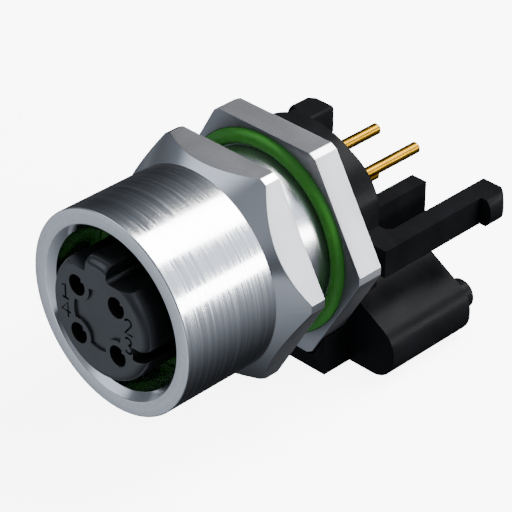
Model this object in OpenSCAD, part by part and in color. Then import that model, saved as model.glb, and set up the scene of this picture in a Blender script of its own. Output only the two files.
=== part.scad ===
// Four pole round data socket for a panel, with a moulded carrier that clips on a printed board.
// Y runs back along the axis, X to the right, Z up. The origin is the centre of the sleeve's rim.

/* [Front sleeve] */
// Outside diameter of the sleeve
sleeve_d = 14; // [13.4:0.1:14.6]
// Length of the round part in front of the hexagon
sleeve_len = 7.4; // [6.8:0.1:10]
// Bore at the crests of the mating thread
thread_bore_d = 10.9; // [10.6:0.1:11.2]
// Diameter of the bevelled mouth
mouth_d = 11.9; // [11.4:0.1:12.4]
// Thickness of the front hexagon
front_hex_len = 2.81; // [2.2:0.1:4]
// Length of the turned cone on the front hexagon
cone_len = 1.64; // [0.8:0.1:1.9]

/* [Hexagons] */
// Width across the flats
hex_af = 15; // [15:0.1:16]
// Diameter that the corners are turned to
hex_corner_d = 17; // [16.4:0.1:18]

/* [Rear housing] */
// Outside diameter of the threaded neck
neck_d = 12; // [11.6:0.1:12.4]
// Free length of neck between the two hexagons
neck_gap = 3.12; // [2.6:0.1:6]
// Thickness of the rear hexagon
rear_hex_len = 1.98; // [1.6:0.1:4]
// Depth of the rear counterbore that clamps the insert
counterbore_depth = 2.1; // [1.8:0.1:2.6]
// Diameter of the rear counterbore
counterbore_d = 10.4; // [9.8:0.1:10.8]

/* [Seals] */
// Thickness of the ring that seals on the panel
panel_ring_t = 0.9; // [0.7:0.05:1]
// Free gap between that ring and the neck
panel_ring_gap = 0.25; // [0.15:0.05:0.3]
// How far that ring stands out of its groove
panel_ring_out = 0.45; // [0.3:0.05:0.6]
// Thickness of the ring inside the sleeve
mouth_ring_t = 1.1; // [0.8:0.1:1.2]
// Depth of the inner ring's groove behind the rim
mouth_ring_depth = 4; // [3.4:0.1:5.4]
// Depth of that groove into the bore
mouth_groove_depth = 0.45; // [0.35:0.05:0.6]

/* [Insert] */
// Diameter of the insert
insert_d = 8.5; // [8.2:0.1:8.8]
// How far the insert stands out of the sleeve
insert_out = 1; // [0.4:0.1:2]
// Rounding of the insert's front edge
insert_round = 0.6; // [0.3:0.1:0.8]
// Height of the flat on top of the insert above the axis
insert_flat = 3.15; // [3:0.05:3.4]
// Width of the key on top of the insert
key_w = 1.86; // [1.4:0.1:2.4]
// Width of the key groove in the insert's side
groove_w = 0.9; // [0.6:0.1:1.2]
// Depth of the shallow recess in the insert's face
face_recess = 0.17; // [0.1:0.01:0.4]
// Radius of the raised ring round each hole in that recess
hole_ring_r = 1.1; // [0.9:0.05:1.4]
// How far the rib in each hole's mouth stays from the pin's middle
hole_rib_at = 0.37; // [0.37:0.01:0.45]

/* [Contacts] */
// Diameter of the circle through the four contacts
contact_circle = 5; // [4.8:0.1:5.2]
// Bore that takes the plug's pin
contact_bore = 1; // [0.8:0.05:1.1]
// Outside diameter of the socket end
contact_d = 1.4; // [1.3:0.05:1.5]
// Depth of the pin's bore in a contact
contact_bore_len = 5.5; // [4:0.1:7]
// Length of the slot that lets a contact spring
slot_len = 3; // [2:0.1:5]
// Diameter of the solder tail
tail_d = 0.8; // [0.6:0.05:0.9]
// Length of the tail behind the board
tail_out = 1.1; // [0.6:0.1:2.5]

/* [Carrier] */
// Radius of the carrier's round flange
flange_r = 6.55; // [6.3:0.05:7]
// Half width over the flange's flat sides
flange_half = 5.95; // [5.6:0.05:6.2]
// Thickness of the flange
flange_len = 2.48; // [2.2:0.1:4]
// Radius of the boss behind the flange
boss_r = 4.2; // [3.6:0.1:4.4]
// Length of the boss behind the flange
boss_len = 2.09; // [1:0.1:3]
// Underside of the carrier below the axis
foot_drop = 8.7; // [8.4:0.1:9.4]
// Half width of the cradle round the hexagon
cradle_half = 5.45; // [4.6:0.05:5.6]
// Distance from the flange to the board
board_gap = 5.61; // [4.6:0.1:9]
// Thickness of the printed board
board_t = 1.6; // [1:0.1:2.4]

/* [Short arms] */
// Inner side of a short arm from the centre
short_arm_x = 3.77; // [3.4:0.01:3.9]
// Thickness of a short arm
short_arm_t = 1.25; // [0.9:0.01:1.4]
// Height of a short arm
short_arm_h = 3.2; // [2:0.1:3.6]
// Fillet above and below a short arm's foot
short_arm_root = 0.25; // [0.1:0.05:0.5]

/* [Latch arms] */
// Inner side of a latch arm from the centre
latch_x = 6.7; // [6.6:0.05:7.3]
// Thickness of a latch arm
latch_t = 1.65; // [1.1:0.05:1.8]
// Top of a latch arm above the axis
latch_top = 1.1; // [0.9:0.1:1.4]
// Height of a latch arm
latch_h = 2; // [1.6:0.1:2.4]
// How far the barb stands out from its arm
barb_out = 0.9; // [0.5:0.05:1.1]
// Length of the barb behind the board
barb_len = 2; // [1.4:0.1:2.6]
// Radius of the barb's rounded outside
barb_r = 1.5; // [1.3:0.1:2]
// Fillet at the foot of a latch arm
latch_root = 0.3; // [0.2:0.1:0.9]
// Rounding of a latch arm's inner top edge
latch_round = 0.25; // [0.1:0.05:0.4]

/* [Board blocks] */
// Peg's centre from the middle plane
peg_x = 7.4; // [7.2:0.1:7.6]
// Peg's centre below the axis
peg_drop = 6.62; // [6.5:0.02:6.9]
// Diameter of the locating peg
peg_d = 2.15; // [1.6:0.05:2.4]
// Length of the locating peg
peg_len = 1.5; // [0.8:0.1:2.4]
// Radius of the block round the peg
block_r = 1.9; // [1.7:0.05:2]
// Radius of the block's lower outer corner
block_corner = 1.8; // [1.2:0.1:1.9]
// Inner side of a block from the middle plane
block_in = 4.9; // [4.4:0.1:5.2]

/* [Hidden] */
$fn = 96;

// clearances
thread_fit = 0.03;      // neck in the sleeve, insert in the neck, carrier in its counterbore
seal_gap = 0.02;        // rubber to its seat
seat_gap = 0.02;        // face to face
contact_fit = 0.02;     // contact in its hole
hex_fit = 0.1;          // cradle round the rear hexagon
eps = 0.01;

// stations along the axis
hex1_y = sleeve_len;
hex1_back = hex1_y + front_hex_len;
hex2_y = hex1_back + neck_gap;
hex2_back = hex2_y + rear_hex_len;
flange_y = hex2_back + seat_gap;
flange_back = flange_y + flange_len - seat_gap;
boss_back = flange_back + boss_len;
seat_y = flange_back + board_gap;
catch_y = seat_y + board_t;
latch_end = catch_y + barb_len;
tail_end = catch_y + tail_out;
peg_end = seat_y + peg_len;

// inside of the sleeve
ring_groove_len = mouth_ring_t + 0.1;
ring_groove_r = thread_bore_d / 2 + mouth_groove_depth;
land = 0.2;
thread_start = mouth_ring_depth + ring_groove_len + land;
mouth_bevel = (mouth_d - thread_bore_d) / 2;
// the neck ends clear of the step when the sleeve is screwed home on the panel ring,
// and always keeps a millimetre of its length inside the sleeve
screw_home = neck_gap - panel_ring_out - 0.02;
neck_front = min(thread_start + screw_home + 0.1, hex1_back - 1);

// the panel ring sits half sunk in a groove in the rear hexagon's front face
panel_ring_in = neck_d / 2 + panel_ring_gap;
panel_groove_y = hex2_y + panel_ring_t - panel_ring_out + seal_gap;

// insert and contacts
shoulder_y = hex2_back - counterbore_depth;
collar_len = 1;
collar_back = shoulder_y + seat_gap + collar_len;
insert_r = insert_d / 2;
face_y = -insert_out;
key_len = 6.5;
contact_at = contact_circle / 2 * sin(45);
contact_recess = 1.2;
contact_front = face_y + contact_recess;
contact_step = boss_back + 0.2;
hole_d = contact_d + 2 * contact_fit;

// carrier
skirt_y = flange_y + 0.57;
cradle_y = hex2_y + 0.17;

// turns a profile of (radius, y) points about the Y axis
module turned() {
    rotate([-90, 0, 0]) rotate_extrude() children();
}

// extrudes an (x, z) outline from y0 to y1
module along_y(y0, y1) {
    translate([0, y1, 0]) rotate([90, 0, 0]) linear_extrude(y1 - y0) children();
}

// round bar of radius r from y0 to y1
module bar(r, y0, y1) {
    translate([0, y0, 0]) rotate([-90, 0, 0]) cylinder(r = r, h = y1 - y0);
}

// hexagon with flats at the top and bottom
module hexagon(af) {
    circle(r = af / 2 / cos(30), $fn = 6);
}

// the same shape on both sides of the middle plane
module both_sides() {
    children();
    mirror([1, 0, 0]) children();
}

// moves a child onto contact n, counted clockwise from the upper left as the plug sees them
module at_contact(n) {
    sx = (n == 1 || n == 4) ? -1 : 1;
    sz = n <= 2 ? 1 : -1;
    translate([sx * contact_at, 0, sz * contact_at]) children();
}

// hollow threaded sleeve with its hexagon, screwed on the neck
module front_sleeve() {
    rim = 0.12;
    color([0.72, 0.73, 0.76]) difference() {
        union() {
            turned() polygon([[0, 0], [sleeve_d / 2 - rim, 0], [sleeve_d / 2, rim],
                              [sleeve_d / 2, hex1_y + 0.5], [0, hex1_y + 0.5]]);
            intersection() {
                along_y(hex1_y, hex1_back) hexagon(hex_af);
                turned() polygon([[0, hex1_y], [sleeve_d / 2, hex1_y],
                                  [hex_corner_d / 2, hex1_y + cone_len],
                                  [hex_corner_d / 2, hex1_back], [0, hex1_back]]);
            }
        }
        // mouth bevel, thread bore, ring groove, land and the bore that runs on the neck
        turned() polygon([[0, -1], [mouth_d / 2, -1], [mouth_d / 2, 0],
                          [thread_bore_d / 2, mouth_bevel], [thread_bore_d / 2, mouth_ring_depth],
                          [ring_groove_r, mouth_ring_depth],
                          [ring_groove_r, mouth_ring_depth + ring_groove_len],
                          [thread_bore_d / 2, mouth_ring_depth + ring_groove_len],
                          [thread_bore_d / 2, thread_start],
                          [neck_d / 2 + thread_fit, thread_start],
                          [neck_d / 2 + thread_fit, hex1_back + 1], [0, hex1_back + 1]]);
        turned() polygon([[neck_d / 2, hex1_back - 0.25], [neck_d / 2 + 0.3, hex1_back + 0.05],
                          [neck_d / 2, hex1_back + 0.05]]);
    }
}

// fixed hexagon with the neck that carries the sleeve and passes through the panel
module rear_housing() {
    color([0.70, 0.71, 0.74]) difference() {
        union() {
            turned() polygon([[0, neck_front], [neck_d / 2 - 0.3, neck_front],
                              [neck_d / 2, neck_front + 0.3], [neck_d / 2, hex2_y + 0.5],
                              [0, hex2_y + 0.5]]);
            intersection() {
                along_y(hex2_y, hex2_back) hexagon(hex_af);
                bar(hex_corner_d / 2, hex2_y - 1, hex2_back + 1);
            }
        }
        bar(insert_r + thread_fit, neck_front - 1, hex2_back + 1);
        bar(counterbore_d / 2, shoulder_y, hex2_back + 1);
        // groove for the panel ring
        difference() {
            bar(panel_ring_in + panel_ring_t + seal_gap, hex2_y - 0.3, panel_groove_y);
            bar(panel_ring_in - seal_gap, hex2_y - 1, panel_groove_y + 1);
        }
    }
}

// rubber ring round the neck, in the groove of the rear hexagon's face
module panel_seal() {
    t = panel_ring_t / 2;
    color([0.16, 0.45, 0.14]) turned()
        translate([panel_ring_in + t, hex2_y - panel_ring_out + t]) circle(r = t);
}

// rubber ring in the sleeve's groove, which the plug's end presses on
module mouth_seal() {
    t = mouth_ring_t / 2;
    color([0.16, 0.45, 0.14]) turned()
        translate([ring_groove_r - seal_gap - t, mouth_ring_depth + ring_groove_len / 2]) circle(r = t);
}

// outline of the insert's keyed end: a flat on top, a key in its middle and a groove at the side
module keyed_cut() {
    fillet = 0.25;
    both_sides() difference() {
        translate([key_w / 2, insert_flat]) square([insert_r, insert_r]);
        // rounded inner corner beside the key
        translate([key_w / 2, insert_flat]) difference() {
            square(fillet);
            translate([fillet, fillet]) circle(r = fillet, $fn = 32);
        }
    }
    translate([insert_r - 1.1, -0.47 - groove_w]) square([2, groove_w]);
}

// shallow recess in the face, with a raised ring round each hole
module face_recess_outline() {
    difference() {
        circle(r = 2.12);
        for (n = [1 : 4])
            translate([(n == 1 || n == 4 ? -1 : 1) * contact_at, (n <= 2 ? 1 : -1) * contact_at])
                circle(r = hole_ring_r);
    }
}

// keyed insulating insert, clamped between the neck's shoulder and the carrier
module socket_insert() {
    a = [for (t = [0 : 15 : 90]) [insert_r - insert_round + insert_round * sin(t),
                                  face_y + insert_round - insert_round * cos(t)]];
    color([0.11, 0.11, 0.12]) difference() {
        union() {
            turned() polygon(concat([[0, face_y]], a, [[insert_r, collar_back], [0, collar_back]]));
            bar(counterbore_d / 2 - thread_fit, shoulder_y + seat_gap, collar_back);
        }
        along_y(face_y - 1, face_y + key_len) keyed_cut();
        along_y(face_y - 1, face_y + face_recess) face_recess_outline();
        for (n = [1 : 4]) at_contact(n) difference() {
            bar(hole_d / 2, face_y - 1, collar_back + 1);
            // the mouth keeps a small rib at its upper right
            translate([hole_rib_at, face_y - 2, hole_rib_at])
                cube([hole_d, contact_front - face_y + 1.7, hole_d]);
        }
    }
}

// side view of the latch arm from above: foot, beam, catch face and lead-in
module latch_plan() {
    out = latch_x + latch_t;
    foot_y = flange_y + 0.52;
    inner = [for (t = [0 : 15 : 90]) [latch_x - latch_root + latch_root * sin(t),
                                      flange_back + latch_root - latch_root * cos(t)]];
    polygon(concat([[flange_half - 0.3, foot_y], [out, foot_y], [out, catch_y],
                    [out + barb_out + 0.1, catch_y], [out + barb_out + 0.1, latch_end - 0.76],
                    [out + 0.06, latch_end], [latch_x, latch_end]],
                   [for (i = [len(inner) - 1 : -1 : 0]) inner[i]],
                   [[flange_half - 0.3, flange_back]]));
}

// springing arm with a barb on its outside
module latch_arm() {
    out = latch_x + latch_t;
    difference() {
        intersection() {
            translate([0, 0, latch_top - latch_h]) linear_extrude(latch_h) latch_plan();
            union() {
                translate([0, 0, -foot_drop]) cube([out, latch_end + 1, 2 * foot_drop]);
                // the barb is rounded about a line beside the arm's middle
                translate([out + barb_out - barb_r, 0, latch_top - latch_h / 2])
                    bar(barb_r, catch_y - 0.5, latch_end + 1);
            }
        }
        along_y(flange_back + latch_root, latch_end + 1)
            translate([latch_x + latch_round, latch_top - latch_round]) difference() {
                translate([-latch_round - 0.1, 0]) square(latch_round + 0.1);
                circle(r = latch_round, $fn = 32);
            }
    }
}

// straight arm that the board rests on, with a fillet above and below its foot
module short_arm() {
    h = short_arm_h / 2;
    f = short_arm_root;
    up = [for (t = [0 : 15 : 90]) [flange_back + f - f * sin(t), h + f - f * cos(t)]];
    translate([short_arm_x, 0, 0]) rotate([90, 0, 90]) linear_extrude(short_arm_t)
        polygon(concat([[seat_y, -h], [seat_y, h]], up,
                       [[flange_back - eps, h + f], [flange_back - eps, -h - f]],
                       [for (i = [len(up) - 1 : -1 : 0]) [up[i][0], -up[i][1]]]));
}

// outline of a board block: a slope down from the flange, round about the peg, flat below
module block_outline() {
    s = [peg_x + block_r * sin(30), -peg_drop + block_r * cos(30)];
    in_top = s[1] + (s[0] - block_in) * tan(30);
    right = peg_x + block_r;
    union() {
        polygon([[block_in, in_top - 0.3], [block_in + 0.4, in_top - 0.4 * tan(30)], s,
                 [peg_x, -peg_drop], [right - block_corner, -foot_drop + block_corner],
                 [right - block_corner, -foot_drop], [block_in, -foot_drop]]);
        translate([peg_x, -peg_drop]) circle(r = block_r);
        translate([right - block_corner, -foot_drop + block_corner]) circle(r = block_corner);
        translate([right - block_corner, -peg_drop - (foot_drop - block_corner - peg_drop)])
            square([block_corner, max(eps, foot_drop - block_corner - peg_drop)]);
    }
}

// one moulding: spigot, flange, boss, cradle, board blocks with pegs, short arms and latch arms
module board_bracket() {
    color([0.10, 0.10, 0.11]) difference() {
        union() {
            bar(counterbore_d / 2 - thread_fit, collar_back + seat_gap, flange_y + eps);
            along_y(flange_y, flange_back) intersection() {
                circle(r = flange_r);
                square(2 * [flange_half, flange_r + 1], center = true);
            }
            along_y(skirt_y, flange_back)
                translate([-flange_half, -foot_drop]) square([2 * flange_half, foot_drop]);
            difference() {
                along_y(cradle_y, skirt_y + eps)
                    translate([-cradle_half, -foot_drop]) square([2 * cradle_half, foot_drop - 3]);
                along_y(cradle_y - 1, flange_y) hexagon(hex_af + 2 * hex_fit);
            }
            bar(boss_r, flange_back - eps, boss_back);
            both_sides() {
                along_y(skirt_y, seat_y) block_outline();
                translate([peg_x, 0, -peg_drop]) {
                    bar(peg_d / 2, seat_y - eps, peg_end - 0.2);
                    translate([0, peg_end - 0.2, 0]) rotate([-90, 0, 0])
                        cylinder(r1 = peg_d / 2, r2 = peg_d / 2 - 0.2, h = 0.2);
                }
                short_arm();
                latch_arm();
            }
        }
        for (n = [1 : 4]) at_contact(n) bar(hole_d / 2, cradle_y - 1, boss_back + 1);
    }
}

// turned and slotted contact with a round solder tail
module contact(n) {
    slot = 0.18;
    color([0.83, 0.62, 0.22]) at_contact(n) difference() {
        union() {
            bar(contact_d / 2, contact_front, contact_step);
            turned() polygon([[0, contact_step - 1], [tail_d / 2, contact_step - 1],
                              [tail_d / 2, tail_end - 0.15], [tail_d / 2 - 0.15, tail_end],
                              [0, tail_end]]);
        }
        bar(contact_bore / 2, contact_front - 1, contact_front + contact_bore_len);
        rotate([0, 45 * (n % 2 == 0 ? 1 : -1), 0])
            translate([-slot / 2, contact_front - 1, -contact_d]) cube([slot, slot_len + 1, 2 * contact_d]);
    }
}

front_sleeve();
rear_housing();
panel_seal();
mouth_seal();
socket_insert();
board_bracket();
contact(1);  // contact_1
contact(2);  // contact_2
contact(3);  // contact_3
contact(4);  // contact_4
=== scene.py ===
"""Looks of a round panel data socket with a moulded carrier for a printed board.

Y runs back along the axis from the mating end, X to the right, Z up, and the origin is the centre
of the sleeve's front rim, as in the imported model. Blender's objects are in metres. The sizes in the
classes are in millimetres, and MM turns them into metres.
"""

import logging
import math
from dataclasses import dataclass, field
from enum import Enum

import bmesh
import bpy
import numpy as np
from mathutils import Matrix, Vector


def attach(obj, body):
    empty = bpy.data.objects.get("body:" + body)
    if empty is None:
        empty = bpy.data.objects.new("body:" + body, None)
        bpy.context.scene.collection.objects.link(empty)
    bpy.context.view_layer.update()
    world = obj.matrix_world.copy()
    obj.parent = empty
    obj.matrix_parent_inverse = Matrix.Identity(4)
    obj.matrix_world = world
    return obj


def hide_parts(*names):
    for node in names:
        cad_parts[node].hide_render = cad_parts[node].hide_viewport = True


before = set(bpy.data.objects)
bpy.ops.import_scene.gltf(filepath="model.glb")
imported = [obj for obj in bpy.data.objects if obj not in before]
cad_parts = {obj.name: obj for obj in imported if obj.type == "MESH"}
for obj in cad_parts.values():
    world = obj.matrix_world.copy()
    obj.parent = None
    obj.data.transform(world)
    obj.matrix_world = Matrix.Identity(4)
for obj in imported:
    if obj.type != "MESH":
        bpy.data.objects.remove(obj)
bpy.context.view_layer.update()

MM = 0.001
TURN = 2.0 * math.pi
LOG = logging.getLogger("socket")

Triple = tuple[float, float, float]
Socket = bpy.types.NodeSocket
Sockets = bpy.types.bpy_prop_collection
Tree = bpy.types.NodeTree
Piece = bpy.types.Object

CORNER_STEPS = 4
CUT_LIMIT = 0.45
CREST_HALF = 1 / 8
FLANK = 5 / 16
TURNED_ANGLES = 420
TURNED_SHARP_DEG = 21.0
WELD = 1.5e-6
FLAT_ANGLE = math.radians(0.4)
EDGE_ANGLE = math.radians(34)


class Body(Enum):
    """The bodies that pieces ride on."""

    HOUSING = "housing"
    RING = "sleeve_ring"
    SLEEVE = "sleeve"


class Slot(Enum):
    """The record's material slots."""

    SLEEVE = "sleeve_nickel"
    HOUSING = "housing_nickel"
    RUBBER = "green_rubber"
    INSERT = "insert_plastic"
    CARRIER = "carrier_plastic"
    GOLD = "gold"


# Meshes.


def grid_faces(rows: int, columns: int, close_rows: bool = True) -> np.ndarray:
    """Quads of a grid whose columns always close on themselves.

    Args:
        rows: Number of rows of points.
        columns: Number of points in a row.
        close_rows: True if the last row joins the first.

    Returns:
        An array of quads, four point numbers each.
    """
    last = rows if close_rows else rows - 1
    row, column = np.meshgrid(np.arange(last), np.arange(columns), indexing="ij")
    below, right = (row + 1) % rows, (column + 1) % columns
    quads = np.stack([row * columns + column, row * columns + right,
                      below * columns + right, below * columns + column], axis=-1)
    return quads.reshape(-1, 4)


def outward(points: np.ndarray, quads: np.ndarray) -> np.ndarray:
    """Turns a closed mesh's quads so that they face outwards.

    The sum over the faces of a . (b x c) is six times the volume, and negative if they face in.

    Args:
        points: The mesh's points.
        quads: Its quads.

    Returns:
        The quads, reversed where the volume was negative.
    """
    a, b, c, d = (points[quads[:, i]] for i in range(4))
    volume = np.einsum("ij,ij->", a, np.cross(b, c)) + np.einsum("ij,ij->", a, np.cross(c, d))
    return quads if volume > 0 else quads[:, ::-1]


def mesh_object(name: str, points: np.ndarray, quads: np.ndarray,
                sharp_deg: float = 30.0) -> Piece:
    """Makes an object at the origin from points and quads.

    Args:
        name: The piece's name.
        points: Points in metres.
        quads: Quads that face outwards.
        sharp_deg: Edges that turn by more than this many degrees stay sharp.

    Returns:
        The new object, linked to the scene.
    """
    mesh = bpy.data.meshes.new(name)
    mesh.vertices.add(len(points))
    mesh.vertices.foreach_set("co", points.astype(np.float32).ravel())
    mesh.loops.add(quads.size)
    mesh.loops.foreach_set("vertex_index", quads.astype(np.int32).ravel())
    mesh.polygons.add(len(quads))
    mesh.polygons.foreach_set("loop_start", np.arange(0, quads.size, 4, dtype=np.int32))
    mesh.update(calc_edges=True)
    mesh.validate()
    mesh.polygons.foreach_set("use_smooth", np.ones(len(quads), bool))
    mesh.set_sharp_from_angle(angle=math.radians(sharp_deg))
    made = bpy.data.objects.new(name, mesh)
    bpy.context.scene.collection.objects.link(made)
    return made


def with_even_faces(piece: Piece) -> Piece:
    """Adds a modifier that shades wide faces evenly, so that only their rounded edges turn.

    Args:
        piece: The object to shade.

    Returns:
        The same object.
    """
    even = piece.modifiers.new("even_faces", "WEIGHTED_NORMAL")
    even.mode, even.weight, even.keep_sharp = "FACE_AREA", 60, True
    return piece


def rounded_profile(corners: list[tuple], theta: np.ndarray) -> np.ndarray:
    """Makes closed profiles with rounded corners, one profile for each angle about the axis.

    A corner P between A and B becomes the curve (1-u)^2 (P + a d) + 2u(1-u) P + u^2 (P + b d),
    where a and b point at A and B and d is the cut, held under CUT_LIMIT of the shorter side.

    Args:
        corners: Radius, station and cut of each corner. The radius and the station are one value
            or one value an angle, and the cut is how far the corner is cut back.
        theta: The angles about the axis.

    Returns:
        The points of the rounded profiles, shaped (corners * CORNER_STEPS, angles, 2).
    """
    at = np.stack([np.stack(np.broadcast_arrays(radius, station, theta)[:2], axis=-1)
                   for radius, station, _ in corners])
    cut = np.array([corner[2] for corner in corners])[:, None, None]
    before, after = np.roll(at, 1, axis=0) - at, np.roll(at, -1, axis=0) - at
    long_a = np.linalg.norm(before, axis=2, keepdims=True)
    long_b = np.linalg.norm(after, axis=2, keepdims=True)
    reach = np.minimum(cut, CUT_LIMIT * np.minimum(long_a, long_b))
    start, end = at + before / long_a * reach, at + after / long_b * reach
    u = np.linspace(0.0, 1.0, CORNER_STEPS)[None, :, None, None]
    path = (1 - u) ** 2 * start[:, None] + 2 * u * (1 - u) * at[:, None] + u ** 2 * end[:, None]
    return path.reshape(-1, len(theta), 2)


def turned_object(name: str, path: np.ndarray, theta: np.ndarray,
                  sharp_deg: float = TURNED_SHARP_DEG) -> Piece:
    """Makes a closed ring-shaped piece: x = r cos t, y = station, z = r sin t.

    Args:
        name: The piece's name.
        path: Radius and station in millimetres, shaped (rows, angles, 2).
        theta: The angles about the axis.
        sharp_deg: Edges that turn by more than this many degrees stay sharp.

    Returns:
        The new object.
    """
    radius, station = path[..., 0], path[..., 1]
    points = np.stack([radius * np.cos(theta), station, radius * np.sin(theta)], axis=-1)
    points = points.reshape(-1, 3) * MM
    quads = grid_faces(path.shape[0], path.shape[1])
    return with_even_faces(mesh_object(name, points, outward(points, quads), sharp_deg))


@dataclass(frozen=True)
class Hexagon:
    """A hexagon with flats at the top and bottom and turned corners, in millimetres."""

    flats: float = 15.0
    corners: float = 17.0

    def radius(self, theta: np.ndarray) -> np.ndarray:
        """Outline radius: half the flats over the cosine of the angle from the nearest flat.

        Args:
            theta: Angles about the axis.

        Returns:
            The radius at each angle, held to the turned corners.
        """
        off = np.mod(theta, TURN / 6) - TURN / 12
        return np.minimum(self.flats / 2 / np.cos(off), self.corners / 2)

    def angles(self) -> np.ndarray:
        """Evenly spread angles, with each edge of a turned corner met exactly.

        Such an edge stands off the flat's middle by the angle whose cosine is flats / corners.

        Returns:
            The sorted angles from 0 to a full turn.
        """
        even = np.arange(TURNED_ANGLES) * TURN / TURNED_ANGLES
        middles = TURN / 12 + np.arange(6) * TURN / 6
        crease = math.acos(self.flats / self.corners)
        creases = np.concatenate([middles - crease, middles + crease])
        return np.unique(np.round(np.concatenate([even, np.mod(creases, TURN)]), 9))


@dataclass
class FrontSleeve:
    """The threaded sleeve with its hexagon, screwed on the neck. Millimetres.

    Stations are counted from the rim, and cone is the length of the cone up to the hexagon's
    corners. The four edges are the cuts of most corners, of the cone's foot, of the bore's front
    corners and of the hexagon's back.
    """

    radius: float = 7.0
    length: float = 7.4
    cone: float = 1.64
    back: float = 10.21
    rim: float = 0.07
    bore: float = 5.45
    mouth: float = 5.95
    mouth_depth: float = 0.5
    groove: float = 5.9
    groove_from: float = 4.0
    groove_to: float = 5.2
    step: float = 5.4
    neck_bore: float = 6.03
    lead: float = 0.3
    edge: float = 0.05
    foot_edge: float = 0.03
    bore_edge: float = 0.04
    hex_edge: float = 0.07
    hexagon: Hexagon = Hexagon()

    def corners(self, theta: np.ndarray) -> list[tuple]:
        """Corners of the wall's section.

        Where the cone meets a flat, the station is that at which the cone has the flat's radius.

        Args:
            theta: Angles about the axis.

        Returns:
            Radius, station and cut of each corner.
        """
        flat = self.hexagon.radius(theta)
        rise = self.hexagon.corners / 2 - self.radius
        meet = self.length + self.cone * (flat - self.radius) / rise
        return [
            (self.radius - self.rim, 0, self.edge),
            (self.radius, self.rim, self.edge),
            (self.radius, self.length, self.foot_edge),
            (flat, meet, self.edge),
            (flat, self.back, self.hex_edge),
            (self.neck_bore + self.lead, self.back, self.edge),
            (self.neck_bore, self.back - self.lead, self.edge),
            (self.neck_bore, self.step, self.edge),
            (self.bore, self.step, self.edge),
            (self.bore, self.groove_to, self.edge),
            (self.groove, self.groove_to, self.edge),
            (self.groove, self.groove_from, self.edge),
            (self.bore, self.groove_from, self.bore_edge),
            (self.bore, self.mouth_depth, self.bore_edge),
            (self.mouth, 0, self.edge),
        ]

    def build(self) -> Piece:
        """Builds the sleeve as one closed wall, in place of its CAD node.

        Returns:
            The finished piece.
        """
        theta = self.hexagon.angles()
        path = rounded_profile(self.corners(theta), theta)
        piece = turned_object("sleeve_shell", path, theta)
        return place(piece, Body.SLEEVE, "front_sleeve")


@dataclass
class RearHousing:
    """The fixed hexagon with the neck that passes through the panel. Millimetres.

    The groove seats the panel ring. The thread starts thread_lead behind the neck's front, ends at
    the station thread_end, and fades in and out over the two lengths of thread_fade. The four
    edges are the cuts of most corners, of the neck's root, of the groove and of the hexagon.
    """

    front: float = 8.15
    neck: float = 5.98
    lead: float = 0.3
    hex_front: float = 13.33
    hex_back: float = 15.31
    bore: float = 4.28
    counterbore: float = 5.2
    shoulder: float = 13.21
    groove_inner: float = 6.08
    groove_outer: float = 7.18
    groove_depth: float = 0.6
    pitch: float = 1.0
    thread_depth: float = 0.55
    thread_lead: float = 0.4
    thread_end: float = 10.05
    thread_fade: tuple[float, float] = (0.3, 0.4)
    thread_rows: int = 27
    edge: float = 0.04
    root_edge: float = 0.05
    groove_edge: float = 0.03
    hex_edge: float = 0.07
    hexagon: Hexagon = Hexagon()

    def corners(self, theta: np.ndarray) -> list[tuple]:
        """Corners of the wall's section, from the neck's front.

        Args:
            theta: Angles about the axis.

        Returns:
            Radius, station and cut of each corner.
        """
        flat = self.hexagon.radius(theta)
        floor = self.hex_front + self.groove_depth
        return [
            (self.neck - self.lead, self.front, self.edge),
            (self.neck, self.front + self.lead, self.edge),
            (self.neck, self.hex_front, self.root_edge),
            (self.groove_inner, self.hex_front, self.groove_edge),
            (self.groove_inner, floor, self.groove_edge),
            (self.groove_outer, floor, self.groove_edge),
            (self.groove_outer, self.hex_front, self.groove_edge),
            (flat, self.hex_front, self.hex_edge),
            (flat, self.hex_back, self.hex_edge),
            (self.counterbore, self.hex_back, self.edge),
            (self.counterbore, self.shoulder, self.edge),
            (self.bore, self.shoulder, self.edge),
            (self.bore, self.front, self.edge),
        ]

    def thread(self, theta: np.ndarray) -> np.ndarray:
        """Rows of points along the thread: r = neck - depth x fade x wave, y = station.

        The wave is 0 on the crest and 1 on the root of a right-hand 60 degree thread. With f the
        fractional part of station / pitch + angle / turn, the distance from the crest's middle is
        |f - 0.5| pitches. The flank starts CREST_HALF from that middle and is FLANK long.

        Args:
            theta: Angles about the axis.

        Returns:
            Radius and station of each row at each angle.
        """
        start, end = self.front + self.thread_lead, self.thread_end
        rise, fall = self.thread_fade
        station = np.linspace(start, end, self.thread_rows)[:, None] + 0 * theta
        fade = np.clip((station - start) / rise, 0, 1) * np.clip((end - station) / fall, 0, 1)
        turns = station / self.pitch + theta[None, :] / TURN
        away = np.abs(turns - np.floor(turns) - 0.5)
        wave = np.clip((away - CREST_HALF) / FLANK, 0.0, 1.0)
        return np.stack([self.neck - self.thread_depth * fade * wave, station], axis=-1)

    def build(self) -> Piece:
        """Builds the neck, its thread under the sleeve and the hexagon as one closed wall.

        The thread's rows stand after the profile's first two corners.

        Returns:
            The finished piece.
        """
        theta = self.hexagon.angles()
        path = rounded_profile(self.corners(theta), theta)
        first = 2 * CORNER_STEPS
        path = np.concatenate([path[:first], self.thread(theta), path[first:]])
        piece = turned_object("housing_shell", path, theta)
        return place(piece, Body.HOUSING, "rear_housing")


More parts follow.
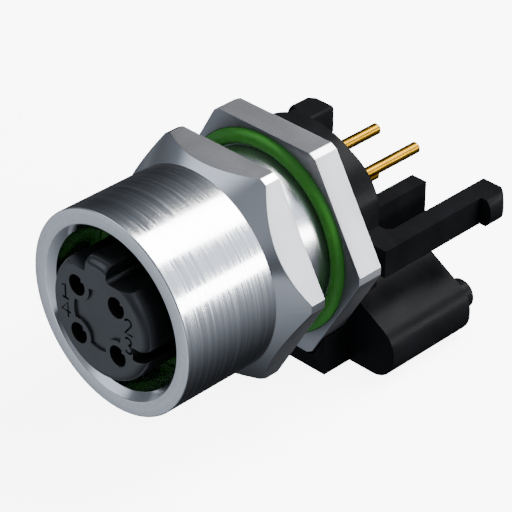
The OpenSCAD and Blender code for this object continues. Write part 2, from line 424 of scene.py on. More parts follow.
@dataclass
class SealRing:
    """A round rubber ring with the fine parting line of its mould. Millimetres.

    The parting line is a ridge at 45 degrees of the section. Its height is a share of the section
    and its width an angle.
    """

    name: str
    node: str
    body: Body
    centre: float
    station: float
    section: float
    ridge_height: float = 0.012
    ridge_width: float = 0.05
    around: int = 300
    rows: int = 72
    sharp_deg: float = 60.0

    def build(self) -> Piece:
        """Builds a torus: r = centre + a cos u, y = station + a sin u, with a raised at the ridge.

        Returns:
            The finished piece.
        """
        theta = np.arange(self.around) * TURN / self.around
        u = np.arange(self.rows) * TURN / self.rows
        off = np.angle(np.exp(1j * (u - TURN / 8)))
        a = self.section * (1.0 + self.ridge_height * np.exp(-(off / self.ridge_width) ** 2))
        path = np.stack([self.centre + a * np.cos(u), self.station + a * np.sin(u)], axis=-1)
        path = np.repeat(path[:, None, :], len(theta), axis=1)
        piece = turned_object(self.name, path, theta, self.sharp_deg)
        return place(piece, self.body, self.node)


def softened_copy(node: str, name: str, edge_mm: float, steps: int = 3) -> Piece:
    """Copies a CAD node as one welded mesh with its flat faces whole and its edges rounded.

    Args:
        node: The CAD node to copy.
        name: The new piece's name.
        edge_mm: Width of the rounded edges.
        steps: Segments across an edge.

    Returns:
        The new object, with a bevel modifier on it.
    """
    shape = bmesh.new()
    shape.from_mesh(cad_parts[node].data)
    bmesh.ops.remove_doubles(shape, verts=shape.verts, dist=WELD)
    bmesh.ops.dissolve_limit(shape, angle_limit=FLAT_ANGLE, verts=shape.verts, edges=shape.edges)
    mesh = bpy.data.meshes.new(name)
    shape.to_mesh(mesh)
    shape.free()
    mesh.materials.clear()
    mesh.polygons.foreach_set("use_smooth", np.ones(len(mesh.polygons), bool))
    mesh.set_sharp_from_angle(angle=EDGE_ANGLE)
    made = bpy.data.objects.new(name, mesh)
    bpy.context.scene.collection.objects.link(made)
    edge = made.modifiers.new("edges", "BEVEL")
    edge.width, edge.segments = edge_mm * MM, steps
    edge.limit_method, edge.angle_limit = "ANGLE", EDGE_ANGLE
    edge.harden_normals = True
    edge.miter_outer = "MITER_ARC"
    return made


@dataclass
class Digits:
    """Pin numbers engraved beside the holes, as grooves of round section. Millimetres.

    A stroke runs past its ends by the share overrun of the half width, and its section there is
    the share tip of the whole.
    """

    face: float = -1.0
    half_width: float = 0.078
    depth: float = 0.2
    overrun: float = 0.8
    tip: float = 0.35
    sides: int = 10
    arc_points: int = 14

    def arc(self, centre: tuple[float, float], reach: tuple[float, float],
            span: tuple[float, float]) -> np.ndarray:
        """Points of an arc of an ellipse: centre + (a cos t, b sin t) over a range of t.

        Args:
            centre: The ellipse's centre.
            reach: Its half axes a and b.
            span: The first and the last t in degrees.

        Returns:
            The points, as x and z on the face.
        """
        t = np.radians(np.linspace(*span, self.arc_points))
        return np.stack([centre[0] + reach[0] * np.cos(t), centre[1] + reach[1] * np.sin(t)],
                        axis=-1)

    def strokes(self) -> list[np.ndarray]:
        """Centre lines of the four numbers, as (x, z) points on the face.

        Returns:
            One array of points for each stroke.
        """
        one = np.array([[-3.11, 1.2], [-2.87, 1.37], [-2.87, 0.33]])
        foot = np.array([[-3.13, 0.33], [-2.61, 0.33]])
        two = np.concatenate([self.arc((2.83, 1.15), (0.29, 0.27), (155, -40)),
                              [[2.53, 0.36], [3.17, 0.36]]])
        three = np.concatenate([self.arc((2.78, -0.2), (0.27, 0.25), (140, -80)),
                                self.arc((2.79, -0.76), (0.3, 0.29), (80, -140))])
        four = np.array([[-2.71, -1.0], [-2.71, 0.05], [-3.28, -0.62], [-2.5, -0.62]])
        return [one, foot, two, three, four]

    def tube(self, line: np.ndarray) -> tuple[np.ndarray, np.ndarray]:
        """Sweeps an ellipse along a stroke: P + w cos u n + d sin u y, with n across the stroke.

        Args:
            line: The stroke's centre line.

        Returns:
            The tube's points in metres and its quads.
        """
        u = np.arange(self.sides) * TURN / self.sides
        along = np.gradient(line, axis=0)
        along /= np.linalg.norm(along, axis=1, keepdims=True)
        line = np.concatenate([line[:1] - along[:1] * self.half_width * self.overrun, line,
                               line[-1:] + along[-1:] * self.half_width * self.overrun])
        along = np.concatenate([along[:1], along, along[-1:]])
        across = np.stack([-along[:, 1], along[:, 0]], axis=-1)
        share = np.ones((len(line), 1))
        share[[0, -1]] = self.tip
        x = line[:, :1] + share * self.half_width * np.cos(u) * across[:, :1]
        z = line[:, 1:] + share * self.half_width * np.cos(u) * across[:, 1:]
        y = self.face + share * self.depth * np.sin(u)
        points = np.stack([x, y, z], axis=-1).reshape(-1, 3) * MM
        return points, outward(points, grid_faces(len(line), self.sides, close_rows=False))

    def cutter(self) -> Piece:
        """Makes the tubes of all strokes and closes their ends.

        Returns:
            One object that holds all the closed tubes.
        """
        points, quads, count = [], [], 0
        for line in self.strokes():
            tube, sides = self.tube(line)
            points.append(tube)
            quads.append(sides + count)
            count += len(tube)
        made = mesh_object("digit_grooves", np.concatenate(points), np.concatenate(quads))
        shape = bmesh.new()
        shape.from_mesh(made.data)
        bmesh.ops.holes_fill(shape, edges=shape.edges)
        bmesh.ops.recalc_face_normals(shape, faces=shape.faces)
        shape.to_mesh(made.data)
        shape.free()
        return made


@dataclass
class Insert:
    """The keyed insulating insert with its engraved pin numbers. Millimetres."""

    edge: float = 0.05
    edge_steps: int = 2
    digits: Digits = field(default_factory=Digits)

    def build(self) -> Piece:
        """Copies the CAD insert, rounds its edges and engraves the numbers.

        Returns:
            The finished piece.
        """
        piece = softened_copy("socket_insert", "insert_body", self.edge, self.edge_steps)
        grooves = self.digits.cutter()
        carve = piece.modifiers.new("numbers", "BOOLEAN")
        carve.operation, carve.solver, carve.object = "DIFFERENCE", "EXACT", grooves
        carve.use_self = True
        bpy.context.view_layer.update()
        shown = piece.evaluated_get(bpy.context.evaluated_depsgraph_get())
        final = bpy.data.meshes.new_from_object(shown)
        piece.modifiers.clear()
        piece.data = final
        piece.data.name = "insert_body"
        bpy.data.objects.remove(grooves)
        final.set_sharp_from_angle(angle=EDGE_ANGLE)
        return place(with_even_faces(piece), Body.HOUSING, "socket_insert")


@dataclass
class Carrier:
    """The black moulding that holds the socket to the printed board. Millimetres."""

    edge: float = 0.09

    def build(self) -> Piece:
        """Copies the CAD moulding and rounds its edges.

        Returns:
            The finished piece.
        """
        piece = softened_copy("board_bracket", "carrier_body", self.edge)
        return place(piece, Body.HOUSING, "board_bracket")


def place(piece: Piece, body: Body, node: str) -> Piece:
    """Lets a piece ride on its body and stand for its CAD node.

    Args:
        piece: The finished object.
        body: The body that it moves with.
        node: The CAD node that it stands for.

    Returns:
        The same object.
    """
    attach(piece, body.value)
    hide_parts(node)
    return piece


# Node graphs.


@dataclass
class Graph:
    """Adds and links the nodes of one node tree."""

    tree: Tree

    def link(self, source: Socket, target: Socket) -> None:
        """Links two sockets.

        Args:
            source: The output socket.
            target: The input socket.
        """
        self.tree.links.new(source, target)

    def add(self, kind: str, inputs: dict | None = None, **settings: object) -> bpy.types.Node:
        """Adds a node.

        Args:
            kind: The node's type.
            inputs: Value or source socket of each input, by name or number.
            **settings: Properties of the node itself.

        Returns:
            The new node.
        """
        node = self.tree.nodes.new(kind)
        for key, value in settings.items():
            setattr(node, key, value)
        for key, value in (inputs or {}).items():
            if isinstance(value, Socket):
                self.link(value, node.inputs[key])
            else:
                node.inputs[key].default_value = value
        return node

    def math(self, operation: str, a: object, b: object = 0.0, clamp: bool = False) -> Socket:
        """Adds a math node.

        Args:
            operation: Blender's name of the operation.
            a: First value or socket.
            b: Second value or socket.
            clamp: True to hold the result between 0 and 1.

        Returns:
            The result's socket.
        """
        node = self.add("ShaderNodeMath", {0: a, 1: b}, operation=operation, use_clamp=clamp)
        return node.outputs[0]

    def ramp(self, value: Socket, low: float, high: float,
             to_low: float = 0.0, to_high: float = 1.0) -> Socket:
        """Maps a value smoothly from one range to another.

        Args:
            value: The socket to map.
            low: Start of its range.
            high: End of its range.
            to_low: Result at the start.
            to_high: Result at the end.

        Returns:
            The result's socket.
        """
        ends = {0: value, 1: low, 2: high, 3: to_low, 4: to_high}
        return self.add("ShaderNodeMapRange", ends, interpolation_type="SMOOTHSTEP").outputs[0]

    def blend(self, factor: object, a: object, b: object) -> Socket:
        """Mixes two values.

        Args:
            factor: Share of the second value.
            a: First value or socket.
            b: Second value or socket.

        Returns:
            The mixed value's socket.
        """
        return self.add("ShaderNodeMix", {0: factor, 2: a, 3: b}).outputs[0]

    def tint(self, factor: object, a: object, b: object) -> Socket:
        """Mixes two colours.

        Args:
            factor: Share of the second colour.
            a: First colour, a socket or red green blue.
            b: Second colour, a socket or red green blue.

        Returns:
            The mixed colour's socket.
        """
        a, b = (end if isinstance(end, Socket) else (*end, 1.0) for end in (a, b))
        return self.add("ShaderNodeMix", {0: factor, 6: a, 7: b}, data_type="RGBA").outputs[2]

    def dot(self, vector: Socket, direction: Triple) -> Socket:
        """Multiplies a vector by a fixed direction.

        Args:
            vector: The vector's socket.
            direction: The direction.

        Returns:
            The dot product's socket.
        """
        node = self.add("ShaderNodeVectorMath", {0: vector, 1: direction}, operation="DOT_PRODUCT")
        return node.outputs["Value"]

    def radius(self, part: Sockets) -> Socket:
        """Works out the distance from the axis, the root of x x + z z.

        Args:
            part: The sockets of a place's x, y and z.

        Returns:
            The distance's socket.
        """
        squares = [self.math("MULTIPLY", part[i], part[i]) for i in (0, 2)]
        return self.math("SQRT", self.math("ADD", *squares))

    def effect(self, group: Tree, place_at: Socket, **inputs: float) -> Sockets:
        """Places a shared effect.

        Args:
            group: The effect's node group.
            place_at: The socket of the place where it is read.
            **inputs: Its other inputs.

        Returns:
            Its output sockets.
        """
        inputs["Vector"] = place_at
        return self.add("ShaderNodeGroup", inputs, node_tree=group).outputs

    def relief(self, shader: bpy.types.Node, depth: float, height: Socket) -> None:
        """Gives a shader a relief.

        Args:
            shader: The shader node.
            depth: Depth of the relief in millimetres.
            height: The relief's socket, from 0 to 1.
        """
        ends = {"Strength": 1.0, "Distance": depth * MM, "Height": height}
        self.link(self.add("ShaderNodeBump", ends).outputs[0], shader.inputs["Normal"])


FLOAT, VECTOR = "NodeSocketFloat", "NodeSocketVector"
PLACE = (VECTOR, (0, 0, 0))
GRAIN_RANGE, SPECK_RANGE, LINE_RANGE = (0.3, 0.7), (0.25, 0.75), (0.36, 0.64)


def new_group(name: str, inputs: dict[str, tuple[str, object]], outputs: tuple[str, ...]) -> tuple:
    """Starts a shader node group with named sockets.

    Args:
        name: The group's name.
        inputs: Socket type and default of each input.
        outputs: Names of the outputs, which are all values.

    Returns:
        The graph, the sockets of the group's inputs and those of its outputs.
    """
    tree = bpy.data.node_groups.new(name, "ShaderNodeTree")
    for key, (kind, default) in inputs.items():
        socket = tree.interface.new_socket(key, in_out="INPUT", socket_type=kind)
        socket.default_value = default
    for key in outputs:
        tree.interface.new_socket(key, in_out="OUTPUT", socket_type=FLOAT)
    graph = Graph(tree)
    return graph, graph.add("NodeGroupInput").outputs, graph.add("NodeGroupOutput").inputs


def lathe_lines() -> Tree:
    """Fine lines that run round the axis.

    Noise is read at (Waver x / r, Density (y + r), Waver z / r): it changes fast along the axis
    and across end faces, and slowly round the axis. Coarse reads it with 0.4 of the Density.

    Returns:
        The group, whose outputs Height and Coarse run from 0 to 1.
    """
    inputs = {"Vector": PLACE, "Density": (FLOAT, 9000.0), "Waver": (FLOAT, 2.5)}
    shares = {"Height": 1.0, "Coarse": 0.4}
    graph, enter, leave = new_group("lathe_lines", inputs, tuple(shares))
    part = graph.add("ShaderNodeSeparateXYZ", {0: enter["Vector"]}).outputs
    radius = graph.math("MAXIMUM", graph.radius(part), 1e-5)
    run = graph.math("ADD", part[1], radius)
    x, z = (graph.math("MULTIPLY", graph.math("DIVIDE", part[i], radius), enter["Waver"])
            for i in (0, 2))
    for output, share in shares.items():
        y = graph.math("MULTIPLY", run, graph.math("MULTIPLY", enter["Density"], share))
        at = graph.add("ShaderNodeCombineXYZ", {0: x, 1: y, 2: z}).outputs[0]
        noise = graph.add("ShaderNodeTexNoise", {
            "Vector": at, "Scale": 1.0, "Detail": 3.0, "Roughness": 0.6})
        graph.link(noise.outputs["Fac"], leave[output])
    return graph.tree


def fine_grain() -> Tree:
    """An even fine grain, as of a moulding tool or a blasted face.

    Returns:
        The group, whose output Height runs from 0 to 1.
    """
    inputs = {"Vector": PLACE, "Density": (FLOAT, 12000.0)}
    graph, enter, leave = new_group("fine_grain", inputs, ("Height",))
    noise = graph.add("ShaderNodeTexNoise", {
        "Vector": enter["Vector"], "Scale": enter["Density"], "Detail": 3.0, "Roughness": 0.55})
    graph.link(noise.outputs["Fac"], leave["Height"])
    return graph.tree


def soft_patches() -> Tree:
    """Wide soft patches, as of handling, with a little fine breakup.

    Returns:
        The group, whose output Factor runs from 0 to 1.
    """
    inputs = {"Vector": PLACE, "Density": (FLOAT, 350.0)}
    graph, enter, leave = new_group("soft_patches", inputs, ("Factor",))
    noise = graph.add("ShaderNodeTexNoise", {
        "Vector": enter["Vector"], "Scale": enter["Density"],
        "Detail": 5.0, "Roughness": 0.62, "Distortion": 0.4})
    graph.link(graph.ramp(noise.outputs["Fac"], *GRAIN_RANGE), leave["Factor"])
    return graph.tree


def ring_wear() -> Tree:
    """A worn band round the axis: 1 where y is near Station, broken up by noise.

    Returns:
        The group, whose output Mask runs from 0 to 1.
    """
    inputs = {"Vector": PLACE, "Station": (FLOAT, 0.0), "Width": (FLOAT, 0.0002)}
    graph, enter, leave = new_group("ring_wear", inputs, ("Mask",))
    along = graph.add("ShaderNodeSeparateXYZ", {0: enter["Vector"]}).outputs[1]
    away = graph.math("ABSOLUTE", graph.math("SUBTRACT", along, enter["Station"]))
    near = graph.math("SUBTRACT", 1.0, graph.math("DIVIDE", away, enter["Width"]), True)
    noise = graph.add("ShaderNodeTexNoise", {
        "Vector": enter["Vector"], "Scale": 2500.0, "Detail": 3.0})
    broken = graph.ramp(noise.outputs["Fac"], 0.35, 0.6)
    graph.link(graph.math("MULTIPLY", near, broken, True), leave["Mask"])
    return graph.tree


@dataclass(frozen=True)
class Effects:
    """Shader effects that several finishes share, each a node group built once."""

    lathe: Tree = field(default_factory=lathe_lines)
    grain: Tree = field(default_factory=fine_grain)
    patches: Tree = field(default_factory=soft_patches)
    wear: Tree = field(default_factory=ring_wear)


# Finishes.


def start_material(name: str) -> tuple[bpy.types.Material, Graph, bpy.types.Node, Socket]:
    """Starts a material with a Principled shader and Object coordinates.

    Args:
        name: The material's name.

    Returns:
        The material, its graph, the shader node and the coordinate socket.
    """
    made = bpy.data.materials.new(name)
    made.use_nodes = True
    graph = Graph(made.node_tree)
    shader = made.node_tree.nodes["Principled BSDF"]
    where = graph.add("ShaderNodeTexCoord").outputs["Object"]
    return made, graph, shader, where


@dataclass(frozen=True)
class PaintedShadeZone:
    """Where shade is painted into the plate's colour, on faces beside narrow gaps. Millimetres.

    It fades in from the station start to the station full, and ends at the station end and at the
    radius inside. The colour near, beside the neck, is painted shade, which on the housing is tinted
    green as a painted reflection of the panel ring. It turns into the colour far, also painted
    shade, between the two radii of turn.
    """

    start: float
    full: float
    end: float
    inside: float
    near: Triple
    far: Triple
    turn: tuple[float, float] = (6.3, 6.6)
    rough: float = 0.46


@dataclass(frozen=True)
class TurnedNickel:
    """Nickel plate over turned brass: lathe lines near the axis, satin faces and grained flats.

    Faces nearer to the axis than turned_to carry the lathe lines, the milled flats stand at
    flat_at from it, and the worn rim is at the station rim. Places, depths, widths and fades are
    in millimetres. The two line roughnesses are those of the lowest and the highest line. Beside
    narrow gaps shade is painted into the colour, and on the housing the colour near the neck is
    also a painted green reflection of the panel ring.
    """

    name: str
    colour: Triple
    satin: Triple
    line_rough: tuple[float, float]
    line_depth: float
    satin_rough: float
    turned_to: float
    rim: float
    painted_shade: PaintedShadeZone
    dark: Triple = (0.62, 0.62, 0.63)
    turned_fade: float = 0.05
    flat_at: float = 7.5
    flat_fade: tuple[float, float] = (0.04, 0.01)
    flat_colour: Triple = (0.31, 0.31, 0.32)
    flat_dark: float = 0.8
    flat_rough: float = 0.46
    worn_colour: Triple = (0.86, 0.86, 0.87)
    worn_share: float = 0.25
    worn_width: float = 0.16
    density: float = 15000.0
    waver: float = 0.4
    coarse_share: float = 0.35
    grain_share: float = 0.4
    patch_density: float = 260.0
    patch_rough: tuple[float, float] = (-0.015, 0.02)

    def masks(self, graph: Graph, where: Socket) -> list[Socket]:
        """Tells the turned faces, the milled flats and the places of painted shade from the rest.

        Args:
            graph: The material's graph.
            where: The coordinate socket.

        Returns:
            The masks of the lathe lines, of the flats, of the painted shade and of the places away
            from the neck.
        """
        part = graph.add("ShaderNodeSeparateXYZ", {0: where}).outputs
        radius = graph.radius(part)
        fade_to = self.turned_to + self.turned_fade
        turned = graph.ramp(radius, self.turned_to * MM, fade_to * MM, 1.0, 0.0)
        reach = 0.0
        for angle in (30, 90, 150):
            flat = (math.cos(math.radians(angle)), 0.0, math.sin(math.radians(angle)))
            reach = graph.math("MAXIMUM", reach, graph.math("ABSOLUTE", graph.dot(where, flat)))
        low, high = (self.flat_at - short for short in self.flat_fade)
        milled = graph.ramp(reach, low * MM, high * MM)
        zone = self.painted_shade
        painted_shade = graph.math("MULTIPLY", graph.ramp(part[1], zone.start * MM, zone.full * MM),
                          graph.math("LESS_THAN", part[1], zone.end * MM))
        painted_shade = graph.math("MULTIPLY", painted_shade, graph.math("LESS_THAN", radius, zone.inside * MM))
        outer = graph.ramp(radius, zone.turn[0] * MM, zone.turn[1] * MM)
        return [turned, milled, painted_shade, outer]

    def material(self, effects: Effects) -> bpy.types.Material:
        """Builds the material.

        Args:
            effects: The shared effects.

        Returns:
            The finished material.
        """
        made, graph, shader, where = start_material(self.name)
        lines = graph.effect(effects.lathe, where, Density=self.density, Waver=self.waver)
        grain = graph.effect(effects.grain, where, Density=self.density)["Height"]
        patches = graph.effect(effects.patches, where, Density=self.patch_density)["Factor"]
        worn = graph.effect(effects.wear, where, Station=self.rim * MM,
                            Width=self.worn_width * MM)["Mask"]
        turned, milled, painted_shade, outer = self.masks(graph, where)

        speck = graph.ramp(graph.blend(turned, grain, lines["Coarse"]), *SPECK_RANGE)
        base = graph.tint(turned, self.satin, graph.tint(speck, self.dark, self.colour))
        flat_dark = tuple(self.flat_dark * part for part in self.flat_colour)
        base = graph.tint(milled, base, graph.tint(speck, flat_dark, self.flat_colour))
        # Painted shade beside narrow gaps, and on the housing a painted green reflection of the panel
        # ring near the neck.
        base = graph.tint(painted_shade, base, graph.tint(outer, self.painted_shade.near, self.painted_shade.far))
        worn = graph.math("MULTIPLY", worn, self.worn_share)
        graph.link(graph.tint(worn, base, self.worn_colour), shader.inputs["Base Color"])

        height = graph.blend(self.coarse_share, lines["Height"], lines["Coarse"])
        rough = graph.ramp(height, *LINE_RANGE, *self.line_rough)
        rough = graph.blend(turned, self.satin_rough, rough)
        rough = graph.blend(milled, rough, self.flat_rough)
        rough = graph.blend(painted_shade, rough, self.painted_shade.rough)
        rough = graph.math("ADD", rough, graph.ramp(patches, 0.0, 1.0, *self.patch_rough))
        graph.link(rough, shader.inputs["Roughness"])
        shader.inputs["Metallic"].default_value = 1.0
        grain = graph.math("MULTIPLY", grain, self.grain_share)
        graph.relief(shader, self.line_depth, graph.blend(turned, grain, height))
        return made


@dataclass(frozen=True)
class Moulded:
    """A moulded plastic or rubber with fine tool grain and soft patches.

    The grain's depth is in millimetres, and the last two fields are what the patches and the grain
    add to the roughness and take from it.
    """

    name: str
    colour: Triple
    second: Triple
    rough: float
    grain_density: float
    grain_depth: float
    specular: float
    patch_density: float = 320.0
    patch_rough: float = 0.04
    grain_rough: float = 0.03

    def material(self, effects: Effects) -> bpy.types.Material:
        """Builds the material.

        Args:
            effects: The shared effects.

        Returns:
            The finished material.
        """
        made, graph, shader, where = start_material(self.name)
        grain = graph.effect(effects.grain, where, Density=self.grain_density)["Height"]
        patches = graph.effect(effects.patches, where, Density=self.patch_density)["Factor"]
        base = graph.tint(patches, self.colour, self.second)
        graph.link(base, shader.inputs["Base Color"])
        rough = graph.math(
            "ADD", graph.ramp(patches, 0.0, 1.0, self.rough - self.patch_rough,
                              self.rough + self.patch_rough),
            graph.ramp(grain, *GRAIN_RANGE, -self.grain_rough, self.grain_rough))
        graph.link(rough, shader.inputs["Roughness"])
        graph.relief(shader, self.grain_depth, grain)
        shader.inputs["Specular IOR Level"].default_value = self.specular
        return made


@dataclass(frozen=True)
class GoldPlate:
    """Gold plate over drawn wire, with fine lines along the pin.

    The lines' depth is in millimetres, and line_rough is what the lowest and the highest line add
    to the roughness.
    """

    name: str = "gold_plate"
    colour: Triple = (0.185, 0.096, 0.001)
    second: Triple = (0.145, 0.073, 0.001)
    rough: float = 0.27
    line_rough: tuple[float, float] = (-0.06, 0.08)
    line_depth: float = 0.003
    line_density: float = 9000.0
    stretch: float = 0.05
    patch_density: float = 700.0

    def material(self, effects: Effects) -> bpy.types.Material:
        """Builds the material.

        Noise is read with Y shortened to the share stretch, so that its lines run along the pins.

        Args:
            effects: The shared effects.

        Returns:
            The finished material.
        """
        made, graph, shader, where = start_material(self.name)
        drawn = graph.add("ShaderNodeMapping", {
            "Vector": where, "Scale": (1.0, self.stretch, 1.0)}).outputs[0]
        lines = graph.effect(effects.grain, drawn, Density=self.line_density)["Height"]
        patches = graph.effect(effects.patches, where, Density=self.patch_density)["Factor"]
        base = graph.tint(patches, self.colour, self.second)
        graph.link(base, shader.inputs["Base Color"])
        low, high = (self.rough + part for part in self.line_rough)
        graph.link(graph.ramp(lines, *GRAIN_RANGE, low, high), shader.inputs["Roughness"])
        shader.inputs["Metallic"].default_value = 1.0
        graph.relief(shader, self.line_depth, lines)
        return made


SLEEVE_NICKEL = TurnedNickel(
    name="sleeve_nickel", colour=(0.68, 0.68, 0.69), satin=(0.66, 0.66, 0.67),
    line_rough=(0.05, 0.25), line_depth=0.0022, satin_rough=0.17, turned_to=7.04, rim=0.06,
    # Painted shade, near black, on the back face of the hexagon.
    painted_shade=PaintedShadeZone(start=10.17, full=10.19, end=10.3, inside=9.0,
                   near=(0.07, 0.07, 0.075), far=(0.07, 0.07, 0.075)))
HOUSING_NICKEL = TurnedNickel(
    name="housing_nickel", colour=(0.66, 0.66, 0.67), satin=(0.64, 0.64, 0.65),
    line_rough=(0.2, 0.25), line_depth=0.0006, satin_rough=0.42, turned_to=6.04, rim=15.3,
    # Painted shade on the neck's foot and the hexagon's front face; the green tint near the neck is a
    # painted reflection of the panel ring.
    painted_shade=PaintedShadeZone(start=12.35, full=12.95, end=13.37, inside=8.46,
                   near=(0.38, 0.46, 0.38), far=(0.28, 0.28, 0.292)))
GREEN_RUBBER = Moulded(
    name="green_rubber", colour=(0.052, 0.29, 0.029), second=(0.043, 0.245, 0.024),
    rough=0.42, grain_density=9000.0, grain_depth=0.0003, specular=0.25)
INSERT_PLASTIC = Moulded(
    name="insert_plastic", colour=(0.006, 0.006, 0.006), second=(0.008, 0.008, 0.008),
    rough=0.36, grain_density=14000.0, grain_depth=0.002, specular=0.85)
CARRIER_PLASTIC = Moulded(
    name="carrier_plastic", colour=(0.0056, 0.0056, 0.0059), second=(0.0076, 0.0076, 0.0083),
    rough=0.3, grain_density=11000.0, grain_depth=0.001, specular=0.018)


class Finishes:
    """All finishes of the socket, dressed on the pieces by slot."""

    def __init__(self) -> None:
        """Builds the materials."""
        effects = Effects()
        kinds = {
            Slot.SLEEVE: SLEEVE_NICKEL,
            Slot.HOUSING: HOUSING_NICKEL,
            Slot.RUBBER: GREEN_RUBBER,
            Slot.INSERT: INSERT_PLASTIC,
            Slot.CARRIER: CARRIER_PLASTIC,
            Slot.GOLD: GoldPlate(),
        }
        self.by_slot = {slot: kind.material(effects) for slot, kind in kinds.items()}

    def dress(self, piece: Piece, slot: Slot) -> None:
        """Puts a slot's finish on a piece.

        Args:
            piece: The object to dress.
            slot: Its slot.
        """
        piece.data.materials.clear()
        piece.data.materials.append(self.by_slot[slot])
        faces = len(piece.data.polygons)
        piece.data.polygons.foreach_set("material_index", np.zeros(faces, np.int32))
        LOG.info("%s: %d faces, finish %s", piece.name, faces, slot.value)


# Stage.


@dataclass(frozen=True)
class Glow:
    """A soft glow: strength x (1 + cos a) ^ power, with a the angle from its middle.

    The fade is two heights of a direction and the shares of the light there.
    """

    middle: Triple
    power: float
    strength: float
    fade: tuple[float, float, float, float] | None = None


@dataclass(frozen=True)
class Panel:
    """A soft-edged panel: a smooth step of cos a from edge to full, with a as in a glow."""

    middle: Triple
    edge: float
    full: float
    strength: float


@dataclass(frozen=True)
class SoftBox:
    """A rectangular light: its place and its width and height in millimetres, and its watts."""

    name: str
    stand: Triple
    size: tuple[float, float]
    power: float


# The wall behind with a panel in it, a panel to the front left, the ground, which fades out above
# the horizon, the front wall, which fades out below it, and a weak glow from the left.
REAR: Triple = (0.62, 0.55, 0.56)
WALLS = (
    Glow(REAR, power=4.7, strength=0.034),
    Panel(REAR, edge=0.7, full=1.0, strength=0.8),
    Panel((-0.5, -0.53, 0.68), edge=0.85, full=0.985, strength=1.1),
    Glow((-0.05, -1.0, 0.0), power=3.5, strength=0.102, fade=(-0.12, 0.0, 1.0, 0.07)),
    Glow((0.0, -1.0, 0.0), power=2.0, strength=0.075, fade=(0.08, 0.45, 0.0, 1.0)),
    Glow((-0.95, -0.25, -0.2), power=9.0, strength=0.00036),
)
SOFT_BOXES = (
    SoftBox("top_box", stand=(50, 183, 236), size=(150, 205), power=2.2),
    SoftBox("side_strip", stand=(232, 183, 66), size=(210, 66), power=0.95),
)


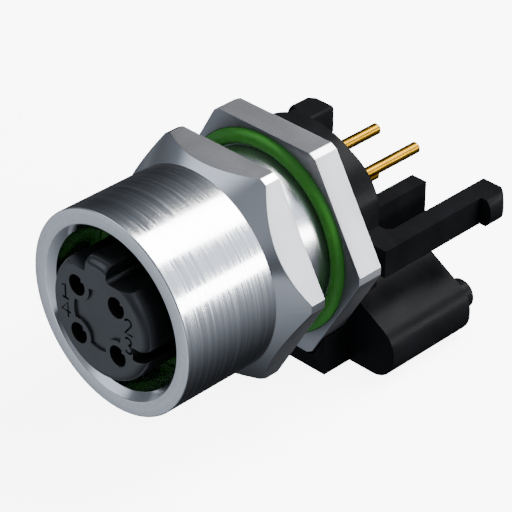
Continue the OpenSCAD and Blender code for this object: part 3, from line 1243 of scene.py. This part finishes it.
@dataclass
class Studio:
    """The floor, the walls, the lights and the camera at the photograph's angle. Millimetres."""

    floor_z: float = -8.7
    floor_half: float = 1500.0
    floor_light: float = 6.5
    backdrop: Triple = (7.0, 7.0, 7.0)
    wall_tint: Triple = (0.9, 1.0, 1.15)
    aim: Triple = (0, 5, 0)
    eye: Triple = (92.48, -79.83, 83.28)
    back: Triple = (0.5931, -0.5933, 0.5443)
    lens: float = 169.7
    sensor: float = 36.0

    def stand(self, data: bpy.types.ID, spot: Triple, facing: Vector) -> Piece:
        """Puts a camera or a light in its place.

        Args:
            data: The camera's or the light's data.
            spot: Where it stands, in millimetres.
            facing: The direction that it faces.

        Returns:
            The new object, linked to the scene.
        """
        made = bpy.data.objects.new(data.name, data)
        made.location = Vector(spot) * MM
        made.rotation_mode = "QUATERNION"
        made.rotation_quaternion = facing.to_track_quat("-Z", "Y")
        bpy.context.scene.collection.objects.link(made)
        return made

    def camera(self) -> None:
        """Makes the camera, level, looking against the back vector."""
        data = bpy.data.cameras.new("camera")
        data.lens, data.sensor_width, data.sensor_fit = self.lens, self.sensor, "HORIZONTAL"
        data.clip_start, data.clip_end = 0.005, 10.0
        bpy.context.scene.camera = self.stand(data, self.eye, -Vector(self.back))

    def floor(self) -> None:
        """Makes the plain pale floor, which the pieces don't mirror."""
        sides = np.array([(-1, -1), (1, -1), (1, 1), (-1, 1)]) * self.floor_half
        points = np.column_stack([sides, np.full(len(sides), self.floor_z)]) * MM
        floor = mesh_object("floor", points, np.array([[0, 1, 2, 3]]))
        made, _, shader, _ = start_material("pale_floor")
        look = {"Base Color": (0.9, 0.9, 0.9, 1.0), "Roughness": 0.9, "Specular IOR Level": 0.1,
                "Emission Color": (1.0, 1.0, 1.0, 1.0), "Emission Strength": self.floor_light}
        for key, value in look.items():
            shader.inputs[key].default_value = value
        floor.data.materials.append(made)
        floor.visible_glossy = floor.visible_diffuse = floor.visible_shadow = False

    def wall_light(self, graph: Graph, where: Socket) -> Socket:
        """Adds up the glows and the panels of the walls.

        Args:
            graph: The world's graph.
            where: The direction's socket.

        Returns:
            The socket of the light that comes from a direction.
        """
        height = graph.add("ShaderNodeSeparateXYZ", {0: where}).outputs[2]
        total = 0.0
        for source in WALLS:
            cosine = graph.dot(where, tuple(Vector(source.middle).normalized()))
            if isinstance(source, Panel):
                light = graph.ramp(cosine, source.edge, source.full, 0.0, source.strength)
            else:
                lobe = graph.math("POWER", graph.math("ADD", cosine, 1.0), source.power)
                light = graph.math("MULTIPLY", lobe, source.strength)
                if source.fade:
                    light = graph.math("MULTIPLY", light, graph.ramp(height, *source.fade))
            total = graph.math("ADD", total, light)
        return total

    def world(self) -> None:
        """Makes the walls: soft light in a dark room, and plain pale where the camera looks."""
        world = bpy.data.worlds.new("studio")
        world.use_nodes = True
        graph = Graph(world.node_tree)
        where = graph.add("ShaderNodeTexCoord").outputs["Generated"]
        light = graph.add("ShaderNodeVectorMath", {
            0: self.wall_tint, "Scale": self.wall_light(graph, where)}, operation="SCALE")
        seen = graph.add("ShaderNodeLightPath").outputs["Is Camera Ray"]
        shown = graph.tint(seen, light.outputs[0], self.backdrop)
        graph.link(shown, world.node_tree.nodes["Background"].inputs[0])
        bpy.context.scene.world = world

    def lights(self) -> None:
        """Sets up the soft boxes, which face the aim."""
        for box in SOFT_BOXES:
            data = bpy.data.lights.new(box.name, "AREA")
            data.shape, data.energy = "RECTANGLE", box.power
            data.size, data.size_y = box.size[0] * MM, box.size[1] * MM
            self.stand(data, box.stand, Vector(self.aim) - Vector(box.stand))

    def build(self) -> None:
        """Sets the camera, the floor, the walls and the lights."""
        self.camera()
        self.floor()
        self.world()
        self.lights()


def main() -> None:
    """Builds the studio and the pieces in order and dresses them."""
    logging.basicConfig(level=logging.INFO, format="%(name)s: %(message)s")
    Studio().build()
    finishes = Finishes()
    pieces = [
        (FrontSleeve(), Slot.SLEEVE),
        (RearHousing(), Slot.HOUSING),
        (SealRing("panel_ring", "panel_seal", Body.HOUSING,
                  centre=6.63, station=13.39, section=0.53), Slot.RUBBER),
        (SealRing("mouth_ring", "mouth_seal", Body.RING,
                  centre=5.33, station=4.6, section=0.55), Slot.RUBBER),
        (Insert(), Slot.INSERT),
        (Carrier(), Slot.CARRIER),
    ]
    for part, slot in pieces:
        finishes.dress(part.build(), slot)
    for number in range(1, 5):
        finishes.dress(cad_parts[f"contact_{number}"], Slot.GOLD)


if __name__ == "__main__":
    main()
